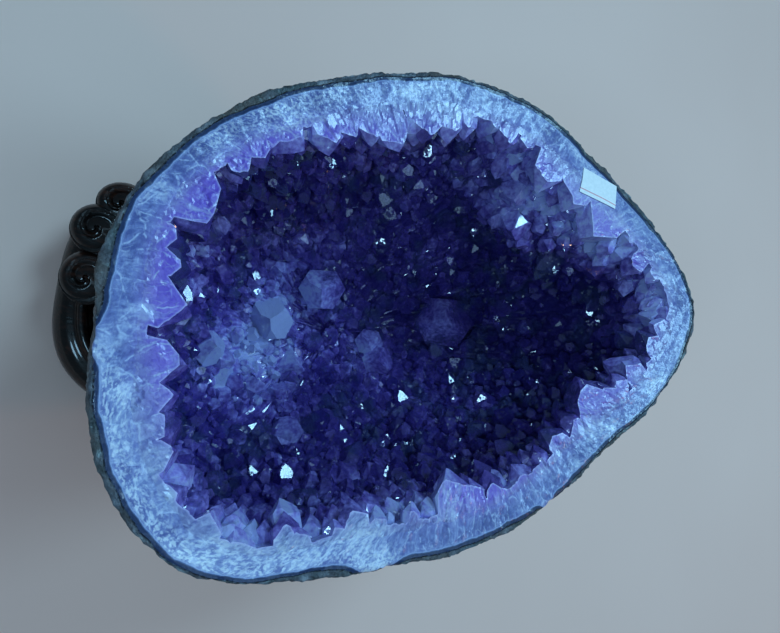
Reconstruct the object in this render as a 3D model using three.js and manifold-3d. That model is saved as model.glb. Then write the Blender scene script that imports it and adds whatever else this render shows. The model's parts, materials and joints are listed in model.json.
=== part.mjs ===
// Half an amethyst geode, cut open as a bowl and lined with crystals, on a carved wooden stand.
// Millimetres, +Z up. +Y is the long way of the bowl, towards its pointed end.
import * as THREE from "three";
import { ConvexHull } from "three/addons/math/ConvexHull.js";
import { mergeVertices } from "three/addons/utils/BufferGeometryUtils.js";
import Module from "manifold-3d";

// The stone. Its own frame has the origin at the middle of the cut face, which is the plane z = 0.
const rimRadii = [97, 93, 92, 96, 115, 133, 120, 110, 107, 105, 104, 108, 119, 130, 133, 141, 136, 109];
const bodyDepth = 140;
const bodySquareness = 2.4;
const bodyBelly = 0.025;
const bottomShift = -16;
const lumpHeight = 1.5;
const lumpFadeBand = 0.25;
const rimTilt = THREE.MathUtils.degToRad(7);
const rimHeight = 192;
const wallThickness = 15;
const wallGrid = { sides: 50, rings: 8 };
const rindRings = 13;
const fitGap = 0.3;

// The crystal lining. A cell is the ground that one packed crystal takes. cellCount fills the hollow below
// the cut face; hollowTop and domeFoot are heights on a unit sphere, where close and wide cells part.
const liningFloor = 2.5;
const cellCount = 430;
const cellJitter = 0.26;
const domeCellCount = 40;
const hollowTop = 0.22;
const domeFoot = 0.42;
const growthSeed = 11;
const crystalRise = { least: 4.5, most: 9.5 };
const ledge = { angle: 132, spread: 23, lat: 18, fall: 10, reach: 24 };

// Crystals that stand out: where each is rooted, where its tip is, and its width across.
const rimCrystals = [
  { root: [-41, -113, -3], tip: [-17, -99, -9], width: 23 },
  { root: [10, -120, -4], tip: [14, -101, -10], width: 22 },
  { root: [-67, -86, -4], tip: [-57, -69, -9], width: 20 },
  { root: [-66, 82, -5], tip: [-45, 67, -12], width: 24 },
  { root: [-60, 101, -4], tip: [-50, 85, -10], width: 13 },
  { root: [-96, 15, -4], tip: [-81, 10, -9], width: 15 },
  { root: [74, 50, -4], tip: [57, 38, -11], width: 19 },
  { root: [18, 109, -5], tip: [7, 86, -13], width: 20 },
  { root: [56, -112, -7], tip: [55, -95, -18], width: 17 },
  { root: [-28, -121, -5], tip: [-12, -112, -9], width: 17 },
  { root: [81, -106, -5], tip: [75, -93, -12], width: 16 },
  { root: [101, -32, -5], tip: [88, -32, -10], width: 17 },
  { root: [98, -72, -4], tip: [87, -74, -9], width: 15 },
  { root: [-86, 59, -12], tip: [-66, 43, -26], width: 15 },
  { root: [-68, 71, -22], tip: [-55, 45, -35], width: 17 },
  { root: [-35, 121, -5], tip: [-30, 106, -11], width: 15 },
  { root: [-94, -32, -4], tip: [-80, -27, -9], width: 15 },
];
const floorCrystals = [
  { root: [-16, 54, -124], tip: [-11, 38, -84], width: 33 },
  { root: [-23, -23, -126], tip: [-19, -30, -96], width: 25 },
  { root: [-3, -49, -128], tip: [0, -54, -101], width: 24 },
  { root: [1, 12, -132], tip: [4, 3, -105], width: 16 },
  { root: [44, 62, -110], tip: [41, 47, -86], width: 24 },
  { root: [12, 17, -128], tip: [14, 8, -101], width: 19 },
  { root: [20, -86, -112], tip: [18, -79, -90], width: 20 },
];
const crystalTaper = 0.88;
const pointPerWidth = 0.62;
const longestPointShare = 0.75;

const label = { long: 20, wide: 12, thick: 0.4, middle: [-71.7, 70.9], turn: 77 };

// The stand. Its frame has the origin on the floor under the middle of the cut face.
const base = { middle: [-9, -28], halfWidth: 71, halfLength: 112, squareness: 3, sides: 40 };
// Inset and height of each ring of the base, up over its round shoulder and the raised bead.
const beadInset = 13.5;
const baseProfile = [
  [2.5, 0],
  [0, 2.5],
  [0, 11],
  [1.6, 16.5],
  [5.5, 20.8],
  [10, 22.5],
  [11.3, 25.5],
  [beadInset, 26.5],
  [15.7, 25.5],
  [17, 22],
];

// Each cloud bracket is a seat under the stone with three carved lobes round its outer side. In its own
// frame +X runs along the base's edge and +Y points outwards; turn is the way that +Y faces.
const bracketSeat = { middle: [0, -21, 42], radii: [27, 21, 34] };
const bracketLobes = [
  { middle: [-20, 5, 36], radii: [15, 15, 14] },
  { middle: [5, 4, 42], radii: [14, 15, 15] },
  { middle: [20, -5, 46], radii: [12, 14, 13] },
];
const brackets = [
  { side: "front", foot: [-32, -121], turn: -90, detail: 2 },
  { side: "left", foot: [-66, -16], turn: 180, detail: 1 },
  { side: "back", foot: [-6, 64], turn: 90, detail: 1 },
  { side: "right", foot: [48, -42], turn: 0, detail: 1 },
];

const rockMaterial = new THREE.MeshStandardMaterial({ color: 0x8d93ad, roughness: 0.7, metalness: 0 });
const crystalMaterial = new THREE.MeshStandardMaterial({ color: 0x4a2f8f, roughness: 0.15, metalness: 0 });
const woodMaterial = new THREE.MeshStandardMaterial({ color: 0x24130f, roughness: 0.3, metalness: 0 });
const paperMaterial = new THREE.MeshStandardMaterial({ color: 0xe9ecf2, roughness: 0.8, metalness: 0 });

const wasm = await Module();
wasm.setup();

// Seeded random numbers from 0 to 1, so that the crystals grow the same way every time.
function randomStream(seed) {
  let state = seed;
  return () => {
    state = (state + 0x6d2b79f5) | 0;
    let mixed = Math.imul(state ^ (state >>> 15), 1 | state);
    mixed = (mixed + Math.imul(mixed ^ (mixed >>> 7), 61 | mixed)) ^ mixed;
    return ((mixed ^ (mixed >>> 14)) >>> 0) / 4294967296;
  };
}

// A closed mesh as a solid that can be joined and cut.
function solidOf(geometry) {
  const bare = geometry.clone();
  bare.deleteAttribute("normal");
  bare.deleteAttribute("uv");
  const merged = mergeVertices(bare, 1e-4);
  const corners = merged.index.array;
  const kept = [];
  for (let i = 0; i < corners.length; i += 3) {
    const [a, b, c] = [corners[i], corners[i + 1], corners[i + 2]];
    if (a !== b && b !== c && c !== a) kept.push(a, b, c);
  }
  return new wasm.Manifold(
    new wasm.Mesh({
      numProp: 3,
      vertProperties: new Float32Array(merged.attributes.position.array),
      triVerts: new Uint32Array(kept),
    }),
  );
}

function geometryOf(solid) {
  const mesh = solid.getMesh();
  const geometry = new THREE.BufferGeometry();
  geometry.setAttribute("position", new THREE.BufferAttribute(mesh.vertProperties, 3));
  geometry.setIndex(new THREE.BufferAttribute(mesh.triVerts, 1));
  const faceted = geometry.toNonIndexed();
  faceted.computeVertexNormals();
  return faceted;
}

function joined(solids) {
  return solids.reduce((whole, next) => whole.add(next));
}

// The piece of a cut solid that holds nearly all of it, without loose chips.
function largestBody(solid) {
  return solid.decompose().reduce((most, next) => (next.volume() > most.volume() ? next : most));
}

// Rings of points with equal counts, each anticlockwise from above, joined into a closed skin between
// a point at the bottom of the outside and a last point.
function skinGeometry(startPoint, rings, endPoint) {
  const sides = rings[0].length;
  const points = [startPoint, ...rings.flat(), endPoint];
  const last = points.length - 1;
  const at = (ring, side) => 1 + ring * sides + (side % sides);
  const corners = [];
  for (let side = 0; side < sides; side++) {
    corners.push(0, at(0, side + 1), at(0, side));
    corners.push(last, at(rings.length - 1, side), at(rings.length - 1, side + 1));
    for (let ring = 0; ring + 1 < rings.length; ring++) {
      corners.push(at(ring, side), at(ring + 1, side + 1), at(ring + 1, side));
      corners.push(at(ring, side), at(ring, side + 1), at(ring + 1, side + 1));
    }
  }
  const geometry = new THREE.BufferGeometry().setFromPoints(points);
  geometry.setIndex(corners);
  return geometry;
}

// The rim's distance from the middle of the cut face, smooth through one given radius every 20 degrees.
function rimRadius(theta) {
  const count = rimRadii.length;
  const place = THREE.MathUtils.euclideanModulo((theta / (2 * Math.PI)) * count, count);
  const i = Math.floor(place);
  const t = place - i;
  const [a, b, c, d] = [-1, 0, 1, 2].map((step) => rimRadii[(i + step + count) % count]);
  return 0.5 * (2 * b + (c - a) * t + (2 * a - 5 * b + 4 * c - d) * t * t + (3 * b - a - 3 * c + d) * t ** 3);
}

// Gentle lumps of the rind, as a sum of four waves. They fade out towards the cut face and the bottom.
function rindLumps(theta, lat) {
  const waves =
    Math.sin(3 * theta + 4.2 * lat + 0.6) +
    Math.sin(5 * theta - 6.1 * lat + 2.1) +
    0.8 * Math.sin(8 * theta + 9.3 * lat + 4) +
    0.6 * Math.sin(13 * theta - 11.7 * lat + 1.3);
  return lumpHeight * waves * Math.min(1, lat / lumpFadeBand) * Math.sqrt(Math.cos(lat));
}

// A point of the stone's round body, moved inwards by the inset. lat is 0 at the rim and 90 degrees at
// the bottom; below 0 it gives the mirrored dome over the cut face.
function bodyPoint(theta, lat, inset) {
  const level = Math.cos(lat);
  const steep = Math.abs(Math.sin(lat));
  const swell = (level ** bodySquareness + steep ** bodySquareness) ** (-1 / bodySquareness);
  const down = steep * swell;
  const radius = (rimRadius(theta) - inset) * level * swell * (1 + bodyBelly * Math.sin(2 * Math.abs(lat)));
  return new THREE.Vector3(
    radius * Math.cos(theta),
    radius * Math.sin(theta) + bottomShift * down ** 3,
    -Math.sign(lat) * (bodyDepth - inset) * down,
  );
}

// Rings down the bowl, from the cut face to just above its bottom. Faces that meet across a gap share
// one grid, so that the gap between them is even.
function bowlRings(inset, ringCount, lumpy) {
  return Array.from({ length: ringCount }, (_, ring) =>
    Array.from({ length: wallGrid.sides }, (_, side) => {
      const theta = (side / wallGrid.sides) * 2 * Math.PI;
      const lat = (ring / ringCount) * (Math.PI / 2);
      return bodyPoint(theta, lat, inset - (lumpy ? rindLumps(theta, lat) : 0));
    }),
  );
}

// A solid bowl with a flat top on the cut face.
function bowlGeometry(inset, ringCount, lumpy) {
  const bottom = bodyPoint(0, Math.PI / 2, inset);
  return skinGeometry(bottom, bowlRings(inset, ringCount, lumpy).reverse(), new THREE.Vector3());
}

function shellGeometry() {
  const outer = bowlRings(0, rindRings, true);
  const inner = bowlRings(wallThickness, wallGrid.rings, false);
  const outerBottom = bodyPoint(0, Math.PI / 2, 0);
  const innerBottom = bodyPoint(0, Math.PI / 2, wallThickness);
  return skinGeometry(outerBottom, [...outer.reverse(), ...inner], innerBottom);
}

// How far below the rim's outer edge the crystals are rooted: the wall, and the ledge that grew on it.
function liningRoot(theta, lat) {
  const angle = THREE.MathUtils.radToDeg(theta);
  const off = THREE.MathUtils.euclideanModulo(angle - ledge.angle + 180, 360) - 180;
  const below = THREE.MathUtils.radToDeg(lat) - ledge.lat;
  const along = Math.exp(-((off / ledge.spread) ** 4));
  const rise = THREE.MathUtils.smoothstep(below, -ledge.lat, 0);
  const fall = Math.exp(-((Math.max(0, below) / ledge.fall) ** 2));
  return wallThickness + fitGap + liningFloor + ledge.reach * along * rise * fall;
}

// Directions spread evenly over a sphere, each pushed a little aside: close over the hollow, and wide
// over the dome above the cut face, which is only cut away.
function cellDirections(random) {
  const golden = Math.PI * (3 - Math.sqrt(5));
  const spread = (count, keep) =>
    Array.from({ length: count }, (_, i) => {
      const height = 1 - (2 * i + 1) / count;
      const level = Math.sqrt(1 - height * height);
      const push = cellJitter * Math.sqrt((4 * Math.PI) / count);
      return new THREE.Vector3(
        level * Math.cos(golden * i) + push * (2 * random() - 1),
        level * Math.sin(golden * i) + push * (2 * random() - 1),
        height + push * (2 * random() - 1),
      ).normalize();
    }).filter((direction) => keep(direction.z));
  return [
    ...spread(2 * cellCount, (z) => z < hollowTop),
    ...spread(domeCellCount, (z) => z > domeFoot),
  ];
}

// The empty space of the hollow. Every cell of its skin is a crystal's point with five to seven flat
// faces: the tip stands over the cell's middle, and the cell's corners are the valleys.
function hollowGeometry() {
  const random = randomStream(growthSeed);
  const directions = cellDirections(random);
  const hull = new ConvexHull().setFromPoints(directions);
  const points = [];
  const place = (direction, rise) => {
    const theta = Math.atan2(direction.y, direction.x);
    const lat = -Math.asin(THREE.MathUtils.clamp(direction.z, -1, 1));
    points.push(bodyPoint(theta, lat, liningRoot(theta, Math.max(0, lat)) + rise));
    return points.length - 1;
  };
  const tips = new Map();
  for (const direction of directions) {
    const rise = THREE.MathUtils.lerp(crystalRise.least, crystalRise.most, random());
    tips.set(direction, place(direction, rise));
  }
  const valleys = new Map();
  const edgesOf = (face) => [face.edge, face.edge.next, face.edge.next.next];
  for (const face of hull.faces) {
    const middle = edgesOf(face).reduce((sum, edge) => sum.add(edge.head().point), new THREE.Vector3());
    valleys.set(face, place(middle.normalize(), 0));
  }
  const corners = [];
  for (const face of hull.faces) {
    for (const edge of edgesOf(face)) {
      corners.push(tips.get(edge.tail().point), valleys.get(edge.twin.face), valleys.get(face));
    }
  }
  const geometry = new THREE.BufferGeometry().setFromPoints(points);
  geometry.setIndex(corners);
  return geometry;
}

// A six-sided crystal from its root to its tip, a little wider below its point than at its root.
function crystalSolid({ root, tip, width }) {
  const from = new THREE.Vector3(...root);
  const axis = new THREE.Vector3(...tip).sub(from);
  const height = axis.length();
  const point = Math.min(width * pointPerWidth, height * longestPointShare);
  const profile = [
    new THREE.Vector2(0, 0),
    new THREE.Vector2((width / 2) * crystalTaper, 0),
    new THREE.Vector2(width / 2, height - point),
    new THREE.Vector2(0, height),
  ];
  const geometry = new THREE.LatheGeometry(profile, 6);
  geometry.applyQuaternion(
    new THREE.Quaternion().setFromUnitVectors(new THREE.Vector3(0, 1, 0), axis.normalize()),
  );
  geometry.translate(...root);
  return solidOf(geometry);
}

function crustGeometry() {
  const bowl = solidOf(bowlGeometry(wallThickness + fitGap, wallGrid.rings, false));
  const crystals = joined([...rimCrystals, ...floorCrystals].map(crystalSolid));
  const space = largestBody(solidOf(hollowGeometry()).subtract(crystals));
  return geometryOf(largestBody(bowl.subtract(space)));
}

// The base, made fatter all over by grow where it is used to cut its neighbours.
function baseGeometry(grow) {
  const ringAt = ([inset, height]) =>
    Array.from({ length: base.sides }, (_, side) => {
      const angle = (side / base.sides) * 2 * Math.PI;
      const reach = (value) => Math.sign(value) * Math.abs(value) ** (2 / base.squareness);
      const out = (inset > beadInset ? -grow : grow) - inset;
      return new THREE.Vector3(
        base.middle[0] + (base.halfWidth + out) * reach(Math.cos(angle)),
        base.middle[1] + (base.halfLength + out) * reach(Math.sin(angle)),
        height + (height > 0 ? grow : -grow),
      );
    });
  const [x, y] = base.middle;
  const top = baseProfile.at(-1)[1] + grow;
  return skinGeometry(
    new THREE.Vector3(x, y, -grow),
    baseProfile.map(ringAt),
    new THREE.Vector3(x, y, top),
  );
}

function lobeGeometry({ middle, radii }, detail) {
  const geometry = new THREE.IcosahedronGeometry(1, detail);
  geometry.scale(...radii);
  geometry.translate(...middle);
  return geometry;
}

// One bracket, cut to sit on the base and to bear on the stone's underside.
function bracketGeometry({ foot, turn, detail }, stone, ground) {
  const solids = [bracketSeat, ...bracketLobes].map((lobe) => {
    const geometry = lobeGeometry(lobe, detail);
    geometry.rotateZ(THREE.MathUtils.degToRad(turn - 90));
    geometry.translate(...foot, 0);
    return solidOf(geometry);
  });
  return geometryOf(largestBody(joined(solids).subtract(stone).subtract(ground)));
}

function named(name, geometry, material) {
  const mesh = new THREE.Mesh(geometry, material);
  mesh.name = name;
  return mesh;
}

const geode = new THREE.Group();
geode.position.z = rimHeight;
geode.rotation.x = rimTilt;
geode.add(named("geode_shell", shellGeometry(), rockMaterial));
geode.add(named("amethyst_crust", crustGeometry(), crystalMaterial));

const labelMesh = named(
  "paper_label",
  new THREE.BoxGeometry(label.long, label.wide, label.thick),
  paperMaterial,
);
labelMesh.position.set(...label.middle, fitGap + label.thick / 2);
labelMesh.rotation.z = THREE.MathUtils.degToRad(label.turn);
geode.add(labelMesh);

const stand = new THREE.Group();
stand.add(named("stand_base", baseGeometry(0), woodMaterial));
geode.updateMatrix();
const stone = solidOf(bowlGeometry(-fitGap, rindRings, true).applyMatrix4(geode.matrix));
const ground = solidOf(baseGeometry(fitGap));
for (const bracket of brackets) {
  const geometry = bracketGeometry(bracket, stone, ground);
  stand.add(named(`cloud_bracket_${bracket.side}`, geometry, woodMaterial));
}

const root = new THREE.Group();
root.add(geode, stand);
const extent = new THREE.Box3().setFromObject(root, true);
root.position.set(
  -(extent.min.x + extent.max.x) / 2,
  -(extent.min.y + extent.max.y) / 2,
  -extent.min.z,
);

export default root;
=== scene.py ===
# Half an amethyst geode, cut open as a bowl and lined with crystals, on a carved wooden stand.
import json
import math

import bmesh
import bpy
import numpy as np
from mathutils import Matrix, Vector, noise

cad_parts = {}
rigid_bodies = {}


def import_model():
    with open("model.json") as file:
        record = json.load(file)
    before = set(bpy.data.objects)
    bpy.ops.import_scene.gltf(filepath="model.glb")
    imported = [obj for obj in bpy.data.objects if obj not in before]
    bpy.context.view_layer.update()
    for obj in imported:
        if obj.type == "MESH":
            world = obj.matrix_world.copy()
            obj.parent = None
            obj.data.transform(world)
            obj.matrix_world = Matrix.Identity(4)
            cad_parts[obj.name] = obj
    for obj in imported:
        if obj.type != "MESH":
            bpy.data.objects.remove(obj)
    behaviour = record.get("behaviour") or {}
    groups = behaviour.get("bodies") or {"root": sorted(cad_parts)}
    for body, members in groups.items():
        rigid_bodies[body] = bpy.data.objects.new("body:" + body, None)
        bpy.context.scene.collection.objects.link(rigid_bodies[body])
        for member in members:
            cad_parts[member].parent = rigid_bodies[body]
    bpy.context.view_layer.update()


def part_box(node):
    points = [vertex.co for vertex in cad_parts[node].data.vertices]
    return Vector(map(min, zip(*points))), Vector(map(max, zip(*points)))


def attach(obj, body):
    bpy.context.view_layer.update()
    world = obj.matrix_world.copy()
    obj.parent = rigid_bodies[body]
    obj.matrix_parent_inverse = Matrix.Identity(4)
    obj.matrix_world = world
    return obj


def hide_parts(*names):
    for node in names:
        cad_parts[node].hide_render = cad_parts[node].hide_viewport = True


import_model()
mm = 0.001
bottomLat = math.pi / 2  # lat is an angle down from the rim
scene = bpy.context.scene
scene.view_settings.view_transform = "Standard"

# The stone. Its own frame is in mm, with the origin at the middle of the cut face, the plane z = 0.
stone = {
    "rimRadii": [97, 93, 92, 96, 115, 133, 120, 110, 107, 105, 104, 108, 119, 130, 133, 141, 136, 109],
    "depth": 140,
    "squareness": 2.4,
    "belly": 0.025,
    "bottomShift": -16,
    "tilt": 7,  # degrees, the pointed end up
    "rimHeight": 192,
    "wall": 15.15,  # rind, agate and pale quartz up to the crystals' roots
    "wallTeeth": 1.6,  # how far that boundary strays at the mouth
    "teethSize": 9,
    "teethReach": 0.5,  # of lat, down from the rim
    "violetInsets": (9, 26),  # mm below the skin, from where to where the cut turns violet
    # How violet and how sugary the pale wall is, every 20 degrees
    "rimViolet": [
        0.3, 0.8, 0.5, 0.45, 0.4, 0.25, 0.5, 0.35, 0.45, 0.35, 0.35, 0.55, 0.8, 0.8, 0.65, 0.15, 0.05, 0.05,
    ],
    "rimSugar": [
        0.5, 0.3, 0.35, 0.5, 0.4, 0.4, 0.2, 0.35, 0.4, 0.5, 0.45, 0.85, 0.8, 0.4, 0.4, 0.8, 0.9, 0.7,
    ],
}
standMiddle = (-9, -28)  # of the base, from the point under the middle of the cut face

baseLow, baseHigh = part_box("stand_base")
baseCentre = (baseLow + baseHigh) / 2
originX = baseCentre.x - standMiddle[0] * mm
originY = baseCentre.y - standMiddle[1] * mm
standPlace = Matrix.Translation((originX, originY, 0)) @ Matrix.Scale(mm, 4)
stonePlace = (
    Matrix.Translation((originX, originY, stone["rimHeight"] * mm))
    @ Matrix.Rotation(math.radians(stone["tilt"]), 4, "X")
    @ Matrix.Scale(mm, 4)
)


# Camera, from the view of the photograph: above the bowl's broad end, looking down along it.
camera = {
    "place": (38.8, -143.3, 413.6),  # mm, from the floor point under the middle of the cut face
    "right": (-0.1055, 0.8744, 0.4735),
    "down": (0.985, 0.1574, -0.0712),
    "lens": 30.4,
    "sensor": 36,
}


def setCamera():
    data = bpy.data.cameras.new("camera")
    data.lens = camera["lens"]
    data.sensor_width = camera["sensor"]
    data.sensor_fit = "HORIZONTAL"
    data.clip_start = 0.01
    view = bpy.data.objects.new("camera", data)
    scene.collection.objects.link(view)
    right = Vector(camera["right"]).normalized()
    up = -Vector(camera["down"]).normalized()
    back = right.cross(up)
    turn = Matrix((right, up, back)).transposed().to_4x4()
    view.matrix_world = Matrix.Translation(standPlace @ Vector(camera["place"])) @ turn
    scene.camera = view


setCamera()
print("camera set")


# Small helpers for nodes, colours and meshes

def srgb(code):
    # A hex colour as linear values
    parts = [int(code[i:i + 2], 16) / 255 for i in (1, 3, 5)]
    linear = [c / 12.92 if c <= 0.04045 else ((c + 0.055) / 1.055) ** 2.4 for c in parts]
    return (*linear, 1.0)


def addNode(tree, kind, inputs=None, steps=(), **settings):
    # Adds a node. An input is a value, or what feeds it: a socket, or a node, by its first output in use.
    # Steps are the colours of a ramp, as place and hex.
    node = tree.nodes.new("ShaderNode" + kind)
    for key, value in settings.items():
        setattr(node, key, value)
    for key, value in (inputs or {}).items():
        if isinstance(value, bpy.types.Node):
            value = next(socket for socket in value.outputs if socket.enabled)
        if isinstance(value, bpy.types.NodeSocket):
            tree.links.new(value, node.inputs[key])
        else:
            node.inputs[key].default_value = value
    for _ in steps[2:]:
        node.color_ramp.elements.new(1.0)
    for i, (place, code) in enumerate(steps):
        node.color_ramp.elements[i].position = place
        node.color_ramp.elements[i].color = srgb(code)
    return node


def addNodes(tree, kind, names, *rows, **settings):
    # Adds one node for each row of inputs under those names
    return [addNode(tree, kind, dict(zip(names, row)), **settings) for row in rows]


def newMaterial(name):
    material = bpy.data.materials.new(name)
    material.use_nodes = True
    material.node_tree.nodes.clear()
    return material, material.node_tree


def finishMaterial(tree, inputs, height=None, **outputs):
    # The shader, with a fine relief whose height is in m
    if height:
        inputs["Normal"] = addNode(tree, "Bump", {"Height": height, "Strength": 1.0, "Distance": 1.0})
    addNode(tree, "OutputMaterial", {"Surface": addNode(tree, "BsdfPrincipled", inputs), **outputs})


def addMesh(name, points, faces, place, material=None, smooth=False):
    mesh = bpy.data.meshes.new(name)
    mesh.from_pydata([tuple(p) for p in np.asarray(points, float)], [], faces)
    if place is not None:
        mesh.transform(place)
    mesh.update()
    mesh.shade_smooth() if smooth else mesh.shade_flat()
    made = bpy.data.objects.new(name, mesh)
    scene.collection.objects.link(made)
    if material:
        mesh.materials.append(material)
    return made


def setAttribute(mesh, name, values, kind="FLOAT", domain="POINT"):
    values = np.asarray(values, np.float32)
    attribute = mesh.attributes.new(name, kind, domain)
    attribute.data.foreach_set("vector" if kind == "FLOAT_VECTOR" else "value", values.ravel())


def pointsOf(mesh):
    flat = np.zeros(len(mesh.vertices) * 3, np.float32)
    mesh.vertices.foreach_get("co", flat)
    return flat.reshape(-1, 3).astype(float)


def closedBody(name, first, rings, last, place, material=None, smooth=False):
    # A closed mesh: rings of equal count, and fans on a first and a last point
    sides = len(rings[0])
    end = 1 + len(rings) * sides
    at = lambda ring, side: 1 + ring * sides + side % sides
    faces = []
    for side in range(sides):
        faces.append((0, at(0, side + 1), at(0, side)))
        for ring in range(len(rings) - 1):
            faces.append((at(ring, side), at(ring, side + 1), at(ring + 1, side + 1), at(ring + 1, side)))
        faces.append((end, at(len(rings) - 1, side), at(len(rings) - 1, side + 1)))
    return addMesh(name, np.concatenate([first, *rings, last]), faces, place, material, smooth)


def booleanMesh(target, operation, other):
    # Joins or cuts closed meshes. other is an object or a collection.
    modifier = target.modifiers.new("cut", "BOOLEAN")
    modifier.operation = operation
    modifier.solver = "MANIFOLD"
    if isinstance(other, bpy.types.Collection):
        modifier.operand_type = "COLLECTION"
        modifier.collection = other
    else:
        modifier.object = other
    graph = bpy.context.evaluated_depsgraph_get()
    made = bpy.data.meshes.new_from_object(target.evaluated_get(graph))
    target.modifiers.clear()
    target.data = made


def removeObject(thing):
    bpy.data.objects.remove(thing, do_unlink=True)


def smoothStep(value, low, high):
    t = np.clip((value - low) / (high - low), 0, 1)
    return t * t * (3 - 2 * t)


def unit(vectors):
    return vectors / np.linalg.norm(vectors, axis=1, keepdims=True)


def allAround(sides):
    return np.arange(sides) / sides * 2 * math.pi


def throughValues(a, b, c, d, t):
    # Smooth course from b on to c, at the share t of the way
    return 0.5 * (2 * b + (c - a) * t + (2 * a - 5 * b + 4 * c - d) * t**2 + (3 * b - a - 3 * c + d) * t**3)


def turnFrom(theta, middle):
    # Degrees from that direction, at most half a turn either way
    return (np.degrees(theta) - middle + 180) % 360 - 180


def waves(points, size, octaves=3, seed=0.0):
    # Smooth noise of about -1 to 1 at each point, with features of that size
    shift = Vector((seed * 17.3, seed * -9.1, seed * 4.7))
    return np.array([noise.fractal(Vector(p) / size + shift, 0.6, 2.1, octaves) for p in points])


# The stone's body: places on it by direction, depth below the skin, and back again

def aroundRim(values, theta):
    # Smooth closed course through values that are given every 20 degrees
    values = np.array(values, float)
    count = len(values)
    place = np.mod(np.asarray(theta) / (2 * math.pi) * count, count)
    i = np.floor(place).astype(int)
    return throughValues(*(values[(i + step) % count] for step in (-1, 0, 1, 2)), place - i)


def rimRadius(theta):
    return aroundRim(stone["rimRadii"], theta)


def bodyPoint(theta, lat, inset):
    # lat is 0 at the rim and 90 degrees at the bottom; below 0 it is the mirrored dome above the mouth
    power = stone["squareness"]
    level = np.cos(lat)
    steep = np.abs(np.sin(lat))
    swell = (level**power + steep**power) ** (-1 / power)
    down = steep * swell
    radius = (rimRadius(theta) - inset) * level * swell * (1 + stone["belly"] * np.sin(2 * np.abs(lat)))
    return np.stack([
        radius * np.cos(theta),
        radius * np.sin(theta) + stone["bottomShift"] * down**3,
        -np.sign(lat) * (stone["depth"] - inset) * down,
    ], -1)


def lowestPoint(inset):
    return bodyPoint(np.zeros(1), np.full(1, bottomLat), inset)


def bodyPlace(points):
    # Direction, lat and inset of points in the stone's frame
    power = stone["squareness"]
    x, y, z = points.T
    down = np.clip(-z / stone["depth"], 0, 1)
    for _ in range(4):
        aside = y - stone["bottomShift"] * down**3
        theta = np.arctan2(aside, x)
        out = np.hypot(x, aside) / rimRadius(theta)
        gauge = np.maximum((out**power + np.abs(z / stone["depth"]) ** power) ** (1 / power), 1e-3)
        down = np.clip(-z / stone["depth"] / gauge, 0, 1)
    lat = np.arctan2(np.abs(z) / stone["depth"], out)
    reach = np.sqrt(x**2 + aside**2 + z**2)
    return theta, lat, reach * (1 / gauge - 1)


def rindLumps(theta, lat):
    lumps = (
        np.sin(3 * theta + 4.2 * lat + 0.6)
        + np.sin(5 * theta - 6.1 * lat + 2.1)
        + 0.8 * np.sin(8 * theta + 9.3 * lat + 4)
        + 0.6 * np.sin(13 * theta - 11.7 * lat + 1.3)
    )
    return 1.5 * lumps * np.minimum(1, lat / 0.25) * np.sqrt(np.cos(lat))


# The cut face isn't quite flat: it is ground by hand, each crystal that the saw crossed broke at its own
# slight slant, and it slopes off outwards under the label.
cutFace = {
    "level": -0.5,
    "dip": 0.7,
    "dipSize": 34,
    "labelAngle": 135.3,
    "slopeSpread": 13,
    "slopeDrop": 4.2,
    "slopeFrom": 17,
    "crystals": [(8.5, 0.07, 2.0), (3.6, 0.11, 1.3)],  # width in mm, slant, length to width
    "brokenDepth": 1.2,
    "brokenHeight": 0.6,
    "fromInset": 4.5,
}
growth = {"around": 100, "alongSkin": 60}  # mm for a radian of the growth's patterns, round and down


def growthVector(theta, inset):
    return np.stack([growth["around"] * np.cos(theta), growth["around"] * np.sin(theta), inset], -1)


def markGrowth(mesh, theta, lat, inset):
    # Where each point lies in the growth, and how violet and how sugary the wall is on that side
    setAttribute(mesh, "growthPlace", growthVector(theta, inset + growth["alongSkin"] * lat), "FLOAT_VECTOR")
    for name in ("rimViolet", "rimSugar"):
        setAttribute(mesh, name, aroundRim(stone[name], theta))


def slantedCells(places, width, slant):
    # Cells of that width, each a plane at its own slant: a height in mm for each place
    middles = np.array([noise.voronoi(Vector(p))[1][0] for p in places / width])
    hashing = np.array([[12.99, 39.35, 73.16], [78.23, 11.14, 52.24], [37.72, 83.16, 9.15]])
    mixed = np.sin(middles @ hashing) * 43758.5
    slants = 2 * (mixed - np.floor(mixed)) - 1
    return slant * ((places - middles * width) * slants).sum(1)


def wallInset(theta, lat=0.0):
    # The boundary between the pale wall and the crystals: ragged at the mouth, smooth further down
    teeth = stone["wallTeeth"] * (1 - smoothStep(lat, 0, stone["teethReach"]))
    return stone["wall"] + teeth * waves(growthVector(theta, 0 * theta), stone["teethSize"], 3, 6.0)


def cutHeight(theta, inset):
    flat = bodyPoint(theta, np.zeros(len(theta)), inset)
    flat[:, 2] = 0
    dip = cutFace["dip"] * (0.5 + 0.5 * waves(flat, cutFace["dipSize"], 2, 3.1))
    near = np.exp(-((turnFrom(theta, cutFace["labelAngle"]) / cutFace["slopeSpread"]) ** 4))
    slope = np.clip(1 - inset / cutFace["slopeFrom"], 0, 1) ** 1.2
    broken = np.zeros(len(theta))
    for width, slant, length in cutFace["crystals"]:
        broken += slantedCells(growthVector(theta, inset / length), width, slant)
    broken *= smoothStep(inset, cutFace["fromInset"], cutFace["fromInset"] + 2) * (1 - near)
    broken = np.clip(broken, -cutFace["brokenDepth"], cutFace["brokenHeight"])
    return np.minimum(cutFace["level"] - dip + broken, -0.05) - cutFace["slopeDrop"] * near * slope


# Materials of the stone
noiseInputs = ("Vector", "Scale", "Detail")
rangeInputs = ("Value", "From Min", "From Max", "To Min", "To Max")


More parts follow.
